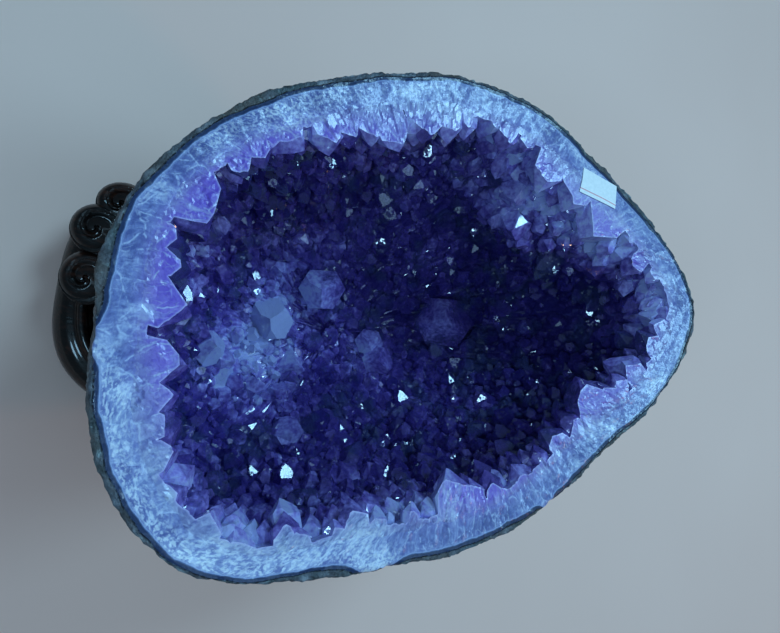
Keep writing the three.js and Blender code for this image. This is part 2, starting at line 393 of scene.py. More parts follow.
def growthPlace(tree):
    # mm round the stone, with the depth below the skin as the third axis, and its bent copy
    place = addNode(tree, "Attribute", attribute_name="growthPlace").outputs["Vector"]
    bend = addNode(tree, "TexNoise", {"Vector": place, "Scale": 1 / 9, "Detail": 2.0}).outputs["Color"]
    return place, addNode(tree, "VectorMath", {0: bend, 1: (5, 5, 5), 2: place}, operation="MULTIPLY_ADD")


def varied(tree, value, sources):
    # The value, moved by each source's distance from one half times its share
    for source, share in sources:
        centred = addNode(tree, "Math", {0: source, 1: 0.5}, operation="SUBTRACT")
        value = addNode(tree, "Math", {0: centred, 1: share, 2: value}, operation="MULTIPLY_ADD")
    return value


def cutQuartz(tree):
    # Columnar quartz cut across: milky to lavender crystals with whitish joints, feathery fibres, sugary
    # white grain in patches, and more violet towards the tips
    columnWidth, splinterWidth = 8.5, 3.6  # mm
    place, bent = growthPlace(tree)
    violetAndPaintedShade, rimViolet, rimSugar = (
        addNode(tree, "Attribute", attribute_name=name).outputs["Fac"]
        for name in ("violetAndPaintedShade", "rimViolet", "rimSugar")
    )
    columns, strands = addNodes(
        tree, "VectorMath", (0, 1), (bent, (1, 1, 0.5)), (bent, (1, 1, 0.13)), operation="MULTIPLY",
    )
    cell = addNode(tree, "TexVoronoi", {"Vector": columns, "Scale": 1 / columnWidth})
    joint, smallJoint = addNodes(
        tree, "TexVoronoi", ("Vector", "Scale"), (columns, 1 / columnWidth), (columns, 1 / splinterWidth),
        feature="DISTANCE_TO_EDGE",
    )
    fibre, cloud, grain, sand = addNodes(
        tree, "TexNoise", noiseInputs,
        (strands, 1 / 1.5, 4), (place, 1 / 19, 5), (bent, 1 / 2.4, 4), (bent, 1 / 1.1, 3),
    )
    grey = addNode(tree, "RGBToBW", {"Color": cell.outputs["Color"]})
    tone = varied(tree, 0.42, (
        (grey, 0.4), (cloud, 1.9), (grain, 1.0), (fibre, 0.8), (sand, 0.6), (rimViolet, -0.35),
    ))
    body = addNode(tree, "ValToRGB", {"Fac": tone}, (
        (0.0, "#56629E"), (0.35, "#7480BA"), (0.65, "#94A2D0"), (0.9, "#C4CEEA"),
    ))
    violet = addNode(tree, "ValToRGB", {"Fac": violetAndPaintedShade}, (
        (0.1, "#9A88DC"), (0.4, "#8A6EDC"), (0.75, "#7450D6"),
    ))
    depth = addNode(tree, "SeparateXYZ", {0: place}).outputs["Z"]
    feather, patches, broken, outer, grains, violetShare = addNodes(
        tree, "MapRange", rangeInputs,
        (fibre, 0.5, 0.72), (cloud, 0.42, 0.62, 0, 0.7), (grain, 0.42, 0.56), (depth, 7, 19, 1, 0.35),
        (sand, 0.46, 0.6), (violetAndPaintedShade, 0, 0.5, 0, 0.9),
    )
    white = addNode(tree, "Math", {0: feather, 1: patches}, operation="MULTIPLY")
    for distance, width, strength in ((joint, 0.04, 0.7), (smallJoint, 0.06, 0.3)):
        line = addNode(
            tree, "MapRange", {"Value": distance, "From Max": width, "To Min": strength, "To Max": 0},
            interpolation_type="SMOOTHSTEP",
        )
        line = addNode(tree, "Math", {0: line, 1: broken}, operation="MULTIPLY")
        white = addNode(tree, "Math", {0: white, 1: line}, operation="MAXIMUM")
    amount = addNode(tree, "Math", {0: rimSugar, 1: outer}, operation="MULTIPLY")
    amount = addNode(tree, "Math", {0: cloud, 1: 1.6, 2: amount}, operation="MULTIPLY_ADD")
    amount = addNode(tree, "MapRange", {"Value": amount, "From Min": 1.1, "From Max": 1.75, "To Max": 0.95})
    sugar = addNode(tree, "Math", {0: grains, 1: amount}, operation="MULTIPLY")
    for share, layer in ((violetShare, violet), (white, srgb("#C6D4F4")), (sugar, srgb("#EAF4FF"))):
        body = addNode(tree, "Mix", {"Factor": share, 6: body, 7: layer}, data_type="RGBA")
    return body


def sparkle(tree, spot, size, strength):
    # Grains that each lie at their own slant, so that single ones flash. Returns a height in mm.
    grains = addNode(tree, "TexVoronoi", {"Vector": spot, "Scale": 1 / (size * mm)})
    scaled = addNode(tree, "VectorMath", {0: spot, "Scale": 1 / (size * mm)}, operation="SCALE")
    inside, slant = addNodes(
        tree, "VectorMath", (0, 1), (scaled, grains.outputs["Position"]),
        (grains.outputs["Color"], (0.5, 0.5, 0.5)), operation="SUBTRACT",
    )
    height = addNode(tree, "VectorMath", {0: inside, 1: slant}, operation="DOT_PRODUCT")
    return addNode(tree, "Math", {0: height, 1: size * strength}, operation="MULTIPLY")


def rindAgateAndQuartz():
    # Weathered basalt rind, stained brown and green, with painted shade as dark spots in its gas pits, and
    # pale crumbs that are partly real and partly painted highlight; a thin dark agate line; and pale quartz.
    # Dull outside, waxy and sugary where cut.
    material, tree = newMaterial("rindAgateAndQuartz")
    belowRind = addNode(tree, "Attribute", attribute_name="belowRind").outputs["Fac"]
    place, bent = growthPlace(tree)
    quartz = cutQuartz(tree)
    spot = addNode(tree, "TexCoord").outputs["Object"]
    mottle, brown, green, crumbsAndHighlights, grit = addNodes(
        tree, "TexNoise", noiseInputs,
        *((spot, 1 / (size * mm), detail) for size, detail in ((5, 8), (32, 4), (19, 4), (6, 4), (1.3, 4))),
    )
    pits, specks = addNodes(
        tree, "TexVoronoi", ("Vector", "Scale"), (spot, 1 / (7.5 * mm)), (spot, 1 / (2.2 * mm)),
    )
    colour = addNode(tree, "ValToRGB", {"Fac": mottle}, (
        (0.30, "#33373E"), (0.45, "#4C525C"), (0.56, "#636A76"), (0.70, "#8C929C"),
    ))
    ragged = addNode(tree, "TexNoise", {"Vector": place, "Scale": 1 / 3.0, "Detail": 3.0})
    layer = addNode(tree, "Math", {0: ragged, 1: 1.1, 2: belowRind}, operation="MULTIPLY_ADD")
    layer = addNode(tree, "MapRange", {"Value": layer, "From Min": -1.0, "From Max": 4.0})
    bands = addNode(tree, "ValToRGB", {"Fac": layer}, (
        (0.00, "#4D5964"), (0.20, "#4A5D7C"), (0.30, "#26365A"), (0.49, "#223257"), (0.56, "#566A9A"),
        (0.61, "#A2B2DC"), (0.66, "#8796C6"), (1.0, "#8796C6"),
    ))
    brown, green, crumbsAndHighlights, pitShade, speckled, sawn, deeper = addNodes(
        tree, "MapRange", rangeInputs,
        (brown, 0.46, 0.62, 0, 0.7), (green, 0.50, 0.66, 0, 0.6), (crumbsAndHighlights, 0.60, 0.69, 0, 0.5),
        (pits, 0.12, 0.22, 0.75, 0), (specks, 0.10, 0.26, 0.2, 0), (layer, 0.16, 0.27), (layer, 0.6, 0.8),
    )
    for share, cover in (
        # pale crumbs, partly real and partly painted highlight on the rough rind
        (brown, srgb("#5E544C")), (green, srgb("#41575A")), (crumbsAndHighlights, srgb("#AFC6CB")),
        # painted shade: dark spots where the gas pits are, which have no hollow in the mesh
        (pitShade, srgb("#23282C")), (speckled, srgb("#A9B2B4")), (sawn, bands), (deeper, quartz),
    ):
        colour = addNode(tree, "Mix", {"Factor": share, 6: colour, 7: cover}, data_type="RGBA")
    rough = addNode(tree, "MapRange", {"Value": sawn, "To Min": 0.85, "To Max": 0.28})
    gritHeight = addNode(tree, "Math", {0: grit, 1: 1.8 * mm}, operation="MULTIPLY")
    sugar = sparkle(tree, spot, 0.9, 0.16 * mm)
    height = addNode(tree, "Mix", {"Factor": sawn, 2: gritHeight, 3: sugar}, data_type="FLOAT")
    finishMaterial(tree, {"Base Color": colour, "Roughness": rough, "IOR": 1.544}, height)
    return material


def amethyst():
    # Natural amethyst: glassy faces, milky pale at the root and deep violet towards the tip. Where the saw
    # crossed a crystal it is pale quartz, with a lilac line along its skin.
    material, tree = newMaterial("amethystCrystal")
    violetAndPaintedShade, tint, grown, fromFace = (
        addNode(tree, "Attribute", attribute_name=name).outputs["Fac"]
        for name in ("violetAndPaintedShade", "crystalTint", "grownFace", "fromFace")
    )
    quartz = cutQuartz(tree)
    spot = addNode(tree, "TexCoord").outputs["Object"]
    veil, patch, wisps, smoke = addNodes(
        tree, "TexNoise", noiseInputs,
        *((spot, 1 / (size * mm), detail) for size, detail in ((7, 5), (40, 2), (2.2, 4), (16, 3))),
    )
    # The violet value also carries painted shade: darker between the crystals and towards the pointed far
    # end.
    value = varied(tree, violetAndPaintedShade, ((veil, 0.5), (patch, 0.9), (wisps, 0.75), (tint, 0.4)))
    violet = addNode(tree, "ValToRGB", {"Fac": value}, (
        (0.0, "#B6BCF0"), (0.2, "#A69CEE"), (0.42, "#8C74DC"), (0.66, "#6450B8"), (0.95, "#40368F"),
    ))
    skin, smoky, deep, clear, rough = addNodes(
        tree, "MapRange", rangeInputs,
        (fromFace, 0, 0.7, 0.7, 0), (smoke, 0.50, 0.62, 0, 0.6), (value, 0.25, 0.55),
        (value, 0.1, 0.5, 0.12, 0.55), (grown, 0, 1, 0.3, 0.06),
    )
    smoky = addNode(tree, "Math", {0: smoky, 1: deep}, operation="MULTIPLY")
    sawn, violet = addNodes(
        tree, "Mix", ("Factor", 6, 7), (skin, quartz, srgb("#CDC8FF")), (smoky, violet, srgb("#55648C")),
        data_type="RGBA",
    )
    colour = addNode(tree, "Mix", {"Factor": grown, 6: sawn, 7: violet}, data_type="RGBA")
    clear = addNode(tree, "Mix", {"Factor": grown, 2: 0.15, 3: clear}, data_type="FLOAT")
    finishMaterial(
        tree, {
            "Base Color": colour, "Roughness": rough, "IOR": 1.544, "Transmission Weight": clear,
            "Specular IOR Level": 1.0,
        },
        sparkle(tree, spot, 1.3, 0.07 * mm),
        Volume=addNode(tree, "VolumeAbsorption", {"Color": srgb("#8C84EA"), "Density": 60.0}),
    )
    return material


# The stone's shell: rind outside, cut face, and the wall that the crystals stand on

shell = {
    "sides": 640,
    "skinRings": 96,
    "faceInsets": [0.5, 1.0, 1.6, 2.3, 3.1, 3.9, 4.6, 5.3, 6.1, 7, 8, 9, 9.9, 10.8, 11.7, 12.6, 13.5, 14.4],
    "wallRings": 8,
    "wallGap": 0.25,  # between the wall and the crystals' roots, below the face
    "rindDepth": 4.3,
    "rindSpread": 1.3,
    "rindWaves": 30,
    "inside": 1.2,  # mm that the skin is held inside the solid stone's
    # Where quartz crosses the rind at the rim, and where the rind bulges there: angle, spread, mm
    "rindGaps": [(282, 2.6, 6.5), (348.5, 4.5, 6.5), (37, 2.0, 6.5)],
    "bulges": [(4, 5, 1.3), (133, 13, 2.4), (226, 10, 1.8), (270.5, 5, 2.3), (325, 8, -1.2), (343, 7, 1.8)],
    "bulgeReach": 0.35,  # of lat, down from the rim
    "grit": 0.75,
    "gritSize": 9,
    "fineGrit": 0.5,
    "fineGritSize": 3.0,
    "rimDrop": 0.6,  # mm from the cut face to the skin's last ring
    "rimStep": 0.25,  # mm at least from ring to ring below that
    "seamFrom": 9,  # mm of inset, where the rings begin to follow the ragged seam
    "edgeCrumble": 1.3,
    "crumbleReach": 3.2,
    "crumbleSize": 5,
    "sharpFrom": 55,  # degrees, for the edge of the wall
}


def bumpsAround(theta, bumps):
    return sum(
        height * np.exp(-((turnFrom(theta, middle) / spread) ** 2)) for middle, spread, height in bumps
    )


def makeShell(material):
    sides = shell["sides"]
    theta = allAround(sides)
    bulge = bumpsAround(theta, shell["bulges"])
    rings, insets, skins = [], [], []
    lats = np.linspace(bottomLat, 0, shell["skinRings"] + 1)[1:]
    for lat in lats:
        lat = np.full(sides, lat)
        smooth = bodyPoint(theta, lat, 0)
        relief = shell["grit"] * waves(smooth, shell["gritSize"], 4, 1.0)
        relief += shell["fineGrit"] * waves(smooth, shell["fineGritSize"], 2, 2.0)
        relief += bulge * np.exp(-((lat / shell["bulgeReach"]) ** 2)) - shell["grit"] - shell["inside"]
        rings.append(bodyPoint(theta, lat, -rindLumps(theta, lat) - relief))
        insets.append(np.zeros(sides))
        skins.append(lat)
    rimRelief = relief
    seam = shell["seamFrom"]
    for inset in [*shell["faceInsets"], stone["wall"]]:
        held = inset - rimRelief * max(0, 1 - inset / 4)
        ragged = seam + (held - seam) * (wallInset(theta) - seam) / (stone["wall"] - seam)
        held = np.where(held > seam, ragged, held)
        points = bodyPoint(theta, np.zeros(sides), held)
        points[:, 2] = cutHeight(theta, held)
        crumble = shell["edgeCrumble"] * max(0, 1 - inset / shell["crumbleReach"])
        points[:, 2] -= crumble * (0.7 + waves(points, shell["crumbleSize"], 3, 5.0))
        rings.append(points)
        insets.append(held)
        skins.append(np.zeros(sides))
    edge = len(lats) - 1
    rings[edge][:, 2] = rings[edge + 1][:, 2] - shell["rimDrop"]
    for ring in range(edge - 1, edge - 7, -1):
        rings[ring][:, 2] = np.minimum(rings[ring][:, 2], rings[ring + 1][:, 2] - shell["rimStep"])
    for lat in np.linspace(0, bottomLat, shell["wallRings"] + 1)[:-1]:
        lat = np.full(sides, max(lat, 0.02))
        rings.append(bodyPoint(theta, lat, wallInset(theta, lat) - shell["wallGap"]))
        insets.append(np.full(sides, stone["wall"]))
        skins.append(lat)
    floor = lowestPoint(stone["wall"] - shell["wallGap"])
    made = closedBody("stoneShell", lowestPoint(1.0), rings, floor, stonePlace, material, smooth=True)
    angle = np.concatenate([[0], np.tile(theta, len(rings)), [0]])
    inset = np.concatenate([[0], *insets, [stone["wall"]]])
    lat = np.concatenate([[bottomLat], *skins, [bottomLat]])
    outline = bodyPoint(theta, np.zeros(sides), 0)
    rind = shell["rindDepth"] + shell["rindSpread"] * waves(outline, shell["rindWaves"], 3, 7.0)
    bare = bumpsAround(theta, shell["rindGaps"])
    depths = [rind if ring < edge else rind - bare for ring in range(len(rings))]
    setAttribute(made.data, "belowRind", inset - np.concatenate([[0], *depths, [0]]))
    markGrowth(made.data, angle, lat, inset)
    side = aroundRim(stone["rimViolet"], angle)
    setAttribute(made.data, "violetAndPaintedShade", side * smoothStep(inset, *stone["violetInsets"]))
    made.data.set_sharp_from_angle(angle=math.radians(shell["sharpFrom"]))
    return made


# The crystals: ground layer, packed crystals, and the large ones that stand out

crust = {
    "seed": 11,
    "sides": 640,
    "groundSides": 320,
    "above": 0.12,  # of lat, how far the ground layer reaches above the mouth before it is cut
    "faceStep": 1.1,  # mm between the fine steps of the cut face
    "faceReach": 44,
    "roots": 2.4,  # mm of milky quartz below the lowest crystals
    "behind": 1.5,  # mm that the ground layer reaches into the wall before it is cut
    "drusy": 1.7,  # mm that the ground's own small points stand up
    "ledge": {"angle": 132, "spread": 23, "lat": 18, "fall": 10, "reach": 24},
    "main": {"count": 3900, "width": 6.6, "spread": 0.30, "least": 3.8, "most": 12, "lean": 15},
    "small": {"count": 3650, "width": 4.0, "spread": 0.25, "least": 2.4, "most": 6, "lean": 24},
    "scatter": 0.45,  # of the distance between neighbours
    "buried": 3.0,  # mm of a packed crystal in the ground layer
    "rise": (0.55, 1.0),  # of its width, above the ground
    "leastRise": 1.0,
    "rimRows": [
        {"level": -3.5, "spacing": 9.5, "width": 13, "reach": 12, "dip": 13},
        {"level": -10, "spacing": 7.5, "width": 8.5, "reach": 9.5, "dip": 16},
        {"level": -16.5, "spacing": 7, "width": 7.5, "reach": 8.5, "dip": 12},
    ],
    "rimBuried": 5,
    "rimUneven": 1.2,
    "rimLean": 0.14,
    "rimRoll": 14,  # degrees
    "rimRoom": 0.36,  # of the two widths, that a crystal of the rows keeps from a placed one
    "looseBelow": -6,  # mm, where the small crystals start, so that few are cut
    "paleZones": [
        # middle, reach, strength
        ((-14, -46, -108), 27, 0.7), ((20, -62, -108), 25, 0.62), ((16, 4, -116), 13, 0.4),
        ((-30, -94, -72), 20, 0.5), ((-12, 40, -90), 16, 0.42), ((-56, 76, -10), 14, 0.9),
        ((-62, 40, -30), 28, 0.42), ((78, -60, -20), 34, 0.3), ((84, 0, -20), 30, 0.25),
        ((-84, -20, -24), 30, 0.25),
    ],
    "rhombAngle": 38.2,  # degrees between a point's face and the crystal's long axis
    "sideGap": 0.88,  # from one side to the other, for a width from edge to edge
    "misshapen": 0.07,  # how unlike the six sides are
    "largeFaces": 0.05,  # how unlike every second face of a point is, and the ones between them
    "smallFaces": 0.16,
    "pointSize": 0.62,
}

# Where each large crystal is rooted, where its tip is, and its width, in mm
rimCrystals = [
    ((-41, -113, -3), (-15, -97, -5), 24), ((10, -120, -4), (14, -98, -5), 22),
    ((-67, -86, -4), (-55, -66, -5), 20), ((-68, 84, -4), (-46, 63, -6), 27),
    ((-60, 101, -4), (-50, 85, -10), 13), ((-96, 15, -4), (-81, 10, -9), 15),
    ((74, 50, -4), (56, 37, -6), 19), ((18, 109, -5), (7, 86, -13), 20),
    ((56, -112, -7), (55, -95, -18), 17), ((-28, -121, -5), (-12, -112, -9), 17),
    ((81, -106, -4), (73, -91, -6), 16), ((101, -32, -4), (85, -32, -6), 17),
    ((98, -72, -4), (85, -74, -6), 15), ((-86, 59, -12), (-66, 43, -26), 15),
    ((-68, 71, -22), (-55, 45, -35), 17), ((-35, 121, -5), (-30, 106, -11), 15),
    ((-94, -32, -4), (-80, -27, -9), 15),
]
# The ones that flash, with their turn in degrees: one face of the point looks half way to the window
glintCrystals = [
    ((-74, 43.4, -29.4), (-60.3, 34.2, -16.6), 16, 37.7),
    ((-59.4, 48.7, -34.7), (-47.5, 37.3, -22), 16, 39.4),
    ((-85.6, 4.5, -46.9), (-76.6, 3.9, -39.5), 9, 31.1),
    ((-68.1, -45.7, -75), (-60.8, -40.1, -67.8), 9, 23.2),
    ((-37.1, 45.8, -105.8), (-32.2, 38.3, -98.3), 9, 40),
]
floorCrystals = [
    ((-16, 54, -124), (-11, 38, -84), 33), ((-23, -23, -126), (-19, -30, -96), 25),
    ((-3, -49, -128), (0, -54, -101), 24), ((1, 12, -132), (4, 3, -105), 16),
    ((44, 62, -110), (41, 47, -86), 24), ((12, 17, -128), (14, 8, -101), 19),
    ((20, -86, -112), (18, -79, -90), 20), ((-8, -106, -88), (-6, -95, -77), 12),
    ((-30, 86, -100), (-26, 73, -86), 14), ((38, 34, -108), (35, 28, -92), 13),
    ((60, -38, -108), (53, -32, -92), 20), ((-86, 20, -82), (-70, 18, -73), 13),
    ((22, -36, -132), (21, -34, -110), 25), ((34, -78, -115), (28, -71, -100), 20),
    ((-36, -106, -76), (-29, -92, -69), 17), ((8, -108, -84), (7, -94, -75), 19),
]


def liningRoot(theta, lat):
    # How deep below the skin the crystals are rooted: the wall, and the ledge that grew on it
    ledge = crust["ledge"]
    below = np.degrees(np.abs(lat)) - ledge["lat"]
    along = np.exp(-((turnFrom(theta, ledge["angle"]) / ledge["spread"]) ** 4))
    rise = smoothStep(below, -ledge["lat"], 0)
    fall = np.exp(-((np.maximum(0, below) / ledge["fall"]) ** 2))
    return stone["wall"] + crust["roots"] + ledge["reach"] * along * rise * fall


def surfaceFrame(theta, lat):
    # Point of the crystals' ground and its direction into the hollow
    step = 0.02
    here, beside, beneath = (
        bodyPoint(theta + aside, lat + down, liningRoot(theta + aside, lat + down))
        for aside, down in ((0, 0), (step, 0), (0, step))
    )
    inward = unit(np.cross(beneath - here, beside - here))
    middle = np.array([0, stone["bottomShift"] / 2, -stone["depth"] * 0.4])
    return here, inward * np.sign(((middle - here) * inward).sum(1))[:, None]


def crystalPlanes(widths, heights, roll, random):
    # Six sides, six point faces and the foot of a misshapen quartz crystal, as normals and distances
    count = len(widths)
    turn = roll[:, None] + np.arange(6) * math.pi / 3
    uneven = 1 + random.normal(0, crust["misshapen"], (count, 6))
    sideGap = widths[:, None] / 2 * crust["sideGap"] * uneven
    slope = math.radians(crust["rhombAngle"])
    large, small = (random.uniform(0, crust[name], (count, 6)) for name in ("largeFaces", "smallFaces"))
    cut = np.where(np.arange(6) % 2 == 0, large, -small)
    point = widths[:, None] * crust["pointSize"] * math.sin(slope)
    tipGap = heights[:, None] * math.sin(slope) - point * cut * 2
    across, along = np.cos(turn), np.sin(turn)
    sides = np.stack([across, along, np.zeros_like(turn)], -1)
    upward = np.full_like(turn, math.sin(slope))
    tips = np.stack([across * math.cos(slope), along * math.cos(slope), upward], -1)
    foot = np.broadcast_to(np.array([0, 0, -1.0]), (count, 1, 3))
    normals = np.concatenate([sides, tips, foot], 1)
    gaps = np.concatenate([sideGap, tipGap, np.zeros((count, 1))], 1)
    return normals, gaps


planeTriples = np.array([(a, b, c) for a in range(13) for b in range(a + 1, 13) for c in range(b + 1, 13)])


def crystalShapes(normals, gaps):
    # Corners and faces of each crystal, from where three of its planes meet inside all the others
    a, b, c = (normals[:, planeTriples[:, k]] for k in range(3))
    da, db, dc = (gaps[:, planeTriples[:, k], None] for k in range(3))
    bc = np.cross(b, c)
    volume = (a * bc).sum(-1)
    safe = np.where(np.abs(volume) < 1e-9, 1.0, volume)
    corner = (da * bc + db * np.cross(c, a) + dc * np.cross(a, b)) / safe[..., None]
    over = np.einsum("ntk,npk->ntp", corner, normals) - gaps[:, None, :]
    kept = (over.max(-1) < 1e-7) & (np.abs(volume) > 1e-9)
    shapes = []
    for i in range(len(normals)):
        chosen = np.nonzero(kept[i])[0]
        corners = corner[i, chosen]
        faces = []
        for plane in range(13):
            members = np.nonzero((planeTriples[chosen] == plane).any(1))[0]
            if len(members) < 3:
                continue
            normal = normals[i, plane]
            side = np.cross(normal, (0.31, 0.17, 0.93))
            ahead = np.cross(normal, side)
            around = corners[members] - corners[members].mean(0)
            order = np.argsort(np.arctan2(around @ ahead, around @ side))
            faces.append([int(members[k]) for k in order])
        shapes.append((corners, faces))
    return shapes


def markFaces(mesh, tint, grown):
    count = len(mesh.polygons)
    setAttribute(mesh, "crystalTint", np.full(count, tint), domain="FACE")
    setAttribute(mesh, "grownFace", np.full(count, grown), domain="FACE")


def placedCrystals(roots, tips, widths, tints, rollSpread, random, into, roll=0.0):
    # One closed mesh for each crystal, in the collection that is joined to the crust. With little spread of
    # the roll, an edge of the point faces up.
    axes = tips - roots
    heights = np.linalg.norm(axes, axis=1)
    roll = roll + random.uniform(-rollSpread, rollSpread, len(widths))
    normals, gaps = crystalPlanes(widths, heights, roll, random)
    for shape, root, axis, tint in zip(crystalShapes(normals, gaps), roots, axes, tints):
        corners, faces = shape
        turn = np.array(Vector(axis).to_track_quat("Z", "Y").to_matrix())
        mesh = bpy.data.meshes.new("crystal")
        mesh.from_pydata([tuple(p) for p in corners @ turn.T + root], [], faces)
        markFaces(mesh, tint, 1.0)
        into.objects.link(bpy.data.objects.new("crystal", mesh))


def packedCrystals(kind, random, into):
    # Crystals spread evenly over the hollow, each leaning its own way
    count = kind["count"]
    i = np.arange(count)
    height = 1 - (2 * i + 1) / count
    golden = math.pi * (3 - math.sqrt(5))
    level = np.sqrt(1 - height**2)
    way = np.stack([level * np.cos(golden * i), level * np.sin(golden * i), height], -1)
    way = unit(way + random.normal(0, crust["scatter"] * math.sqrt(4 * math.pi / count), way.shape))
    way = way[way[:, 2] < 0.10]
    here, inward = surfaceFrame(np.arctan2(way[:, 1], way[:, 0]), -np.arcsin(way[:, 2]))
    low = here[:, 2] < crust["looseBelow"]
    here, inward = here[low], inward[low]
    count = len(here)
    width = kind["width"] * np.exp(random.normal(0, kind["spread"], count))
    width = np.clip(width, kind["least"], kind["most"])
    lean = random.normal(0, math.tan(math.radians(kind["lean"])), here.shape)
    axis = unit(inward + lean)
    rise = width * random.uniform(*crust["rise"], count) + crust["leastRise"]
    tints = random.random(count)
    roots, tips = here - axis * crust["buried"], here + axis * rise[:, None]
    placedCrystals(roots, tips, width, tints, math.pi, random, into)


def rimRow(row, random, into):
    # Stout crystals side by side along the cut, pointing in and a little down. They leave room for the
    # large ones that are placed one by one.
    fine = np.linspace(0, 2 * math.pi, 1441)
    inner = bodyPoint(fine, 0 * fine, 20)
    along = np.append(0, np.cumsum(np.linalg.norm(np.diff(inner, axis=0), axis=1)))
    count = int(along[-1] / row["spacing"])
    places = (np.arange(count) + random.uniform(-0.3, 0.3, count)) * along[-1] / count
    theta = np.interp(places, along, fine)
    lats = np.linspace(0, 0.8, 200)
    depths = bodyPoint(0 * lats, lats, stone["wall"])[:, 2]
    lat = np.full(count, np.interp(-row["level"], -depths, lats))
    here, inward = surfaceFrame(theta, lat)
    here[:, 2] += random.uniform(-crust["rimUneven"], crust["rimUneven"], count)
    inward[:, 2] = -math.tan(math.radians(row["dip"])) * np.hypot(inward[:, 0], inward[:, 1])
    axis = unit(inward + random.normal(0, crust["rimLean"], inward.shape))
    width = row["width"] * np.clip(np.exp(random.normal(0, 0.25, count)), 0.6, 1.5)
    reach = row["reach"] * random.uniform(0.7, 1.25, count) * width / row["width"]
    middle = here + axis * reach[:, None] / 2
    free = np.ones(count, bool)
    for root, tip, size in rimCrystals:
        gap = middle - (np.array(root) + np.array(tip)) / 2
        room = crust["rimRoom"] * (size + width)
        free &= (np.linalg.norm(gap, axis=1) > room) | (np.abs(gap[:, 2]) > 5)
    tints = random.random(count)[free]
    roots, tips = (here - axis * crust["rimBuried"])[free], (here + axis * reach[:, None])[free]
    placedCrystals(roots, tips, width[free], tints, math.radians(crust["rimRoll"]), random, into)


def groundLayer(random):
    # The milky quartz that all the crystals are rooted in, up to above the mouth, where it is cut off.
    # Between them it is drusy: small points in all directions.
    sides = crust["groundSides"]
    theta = allAround(sides)
    behind = stone["wall"] - crust["behind"]
    outerLats = np.linspace(bottomLat, -crust["above"], 12)[1:]
    rings = [bodyPoint(theta, np.full(sides, lat), behind) for lat in outerLats]
    for lat in np.linspace(-crust["above"], bottomLat, 34)[:-1]:
        lat = np.full(sides, lat)
        drusy = crust["drusy"] * random.random(sides)
        rings.append(bodyPoint(theta, lat, liningRoot(theta, lat) + drusy))
    made = closedBody("ground", lowestPoint(behind), rings, lowestPoint(stone["wall"] + crust["roots"]), None)
    markFaces(made.data, 0.5, 1.0)
    return made


def crustMould():
    # The space that the crust may fill: inside the wall, and below the cut face, which has fine steps
    sides = crust["sides"]
    theta = allAround(sides)
    lats = np.linspace(bottomLat, 0, 11)[1:-1]
    rings = [bodyPoint(theta, np.full(sides, lat), wallInset(theta, lat)) for lat in lats]
    wall = wallInset(theta)
    steps = [*np.arange(0, crust["faceReach"] - stone["wall"], crust["faceStep"]), crust["faceReach"], 60]
    for step in steps:
        points = bodyPoint(theta, np.zeros(sides), wall + step)
        points[:, 2] = cutHeight(theta, wall + step)
        rings.append(points)
    made = closedBody("mould", lowestPoint(stone["wall"]), rings, [[0, 0, cutFace["level"]]], None)
    markFaces(made.data, 0.5, 0.0)
    return made


def edgesOf(mesh):
    edges = np.zeros(len(mesh.edges) * 2, np.int32)
    mesh.edges.foreach_get("vertices", edges)
    return edges.reshape(-1, 2)


def keepLargestBody(mesh):
    # Drops chips that the cut left loose
    a, b = edgesOf(mesh).T
    label = np.arange(len(mesh.vertices))
    while True:
        least = np.minimum(label[a], label[b])
        new = label.copy()
        np.minimum.at(new, a, least)
        np.minimum.at(new, b, least)
        new = new[new]
        if (new == label).all():
            break
        label = new
    names, sizes = np.unique(label, return_counts=True)
    loose = np.nonzero(label != names[sizes.argmax()])[0]
    work = bmesh.new()
    work.from_mesh(mesh)
    work.verts.ensure_lookup_table()
    bmesh.ops.delete(work, geom=[work.verts[i] for i in loose], context="VERTS")
    work.to_mesh(mesh)
    work.free()
    return len(loose)


def distanceFromGrownFaces(mesh, points):
    # mm from each point of the cut face to the nearest edge of a grown crystal face, 0 on those faces
    grown = np.zeros(len(mesh.polygons), np.float32)
    mesh.attributes["grownFace"].data.foreach_get("value", grown)
    starts = np.zeros(len(mesh.polygons), np.int32)
    mesh.polygons.foreach_get("loop_start", starts)
    corners = np.zeros(len(mesh.loops), np.int32)
    mesh.loops.foreach_get("vertex_index", corners)
    sizes = np.diff(np.append(starts, len(corners)))
    onGrown = np.zeros(len(points), bool)
    onGrown[corners[np.repeat(grown > 0.5, sizes)]] = True
    edges = edgesOf(mesh)
    atFace = onGrown & (points[:, 2] > -2 - cutFace["dip"])
    near = edges[atFace[edges].all(1)]
    steps = np.linspace(0, 1, 7)[None, :, None]
    marks = (points[near[:, :1]] * (1 - steps) + points[near[:, 1:]] * steps).reshape(-1, 3)[:, :2]
    away = np.zeros(len(points))
    inside = np.nonzero(~onGrown)[0]
    for part in np.array_split(inside, max(1, len(inside) // 400)):
        gap = points[part, None, :2] - marks[None]
        away[part] = np.sqrt((gap**2).sum(-1).min(1))
    return away


def violetAndPaintedShade(points, theta, inset, rise, fromFace):
    # 0 for milky quartz, 1 for the deepest violet: towards the tips and the bottom of the hollow. On grown
    # faces it also holds painted shade: darker on the ground between the crystals and towards the pointed far
    # end.
    side = aroundRim(stone["rimViolet"], theta)
    depth = smoothStep(-points[:, 2], 3, 33)
    tip = smoothStep(rise, 1, 9)
    farEndShade = smoothStep(points[:, 1], 10, 90)
    shadeBetweenCrystals = 1 - smoothStep(rise, 0.2, 2.0)
    grown = 0.16 + 0.22 * side + 0.36 * depth + 0.20 * tip
    # painted shade: the grown faces darker towards the pointed far end of the hollow
    grown += 0.18 * farEndShade * depth
    # painted shade: the ground between the crystals, where they rise least, darker
    grown += 0.30 * shadeBetweenCrystals * depth
    for middle, reach, strength in crust["paleZones"]:
        grown -= strength * np.exp(-((points - np.array(middle)) ** 2).sum(1) / reach**2)
    cut = side * smoothStep(inset, *stone["violetInsets"]) + 0.12 * np.exp(-fromFace / 1.5)
    return np.where(fromFace > 0, cut, grown)


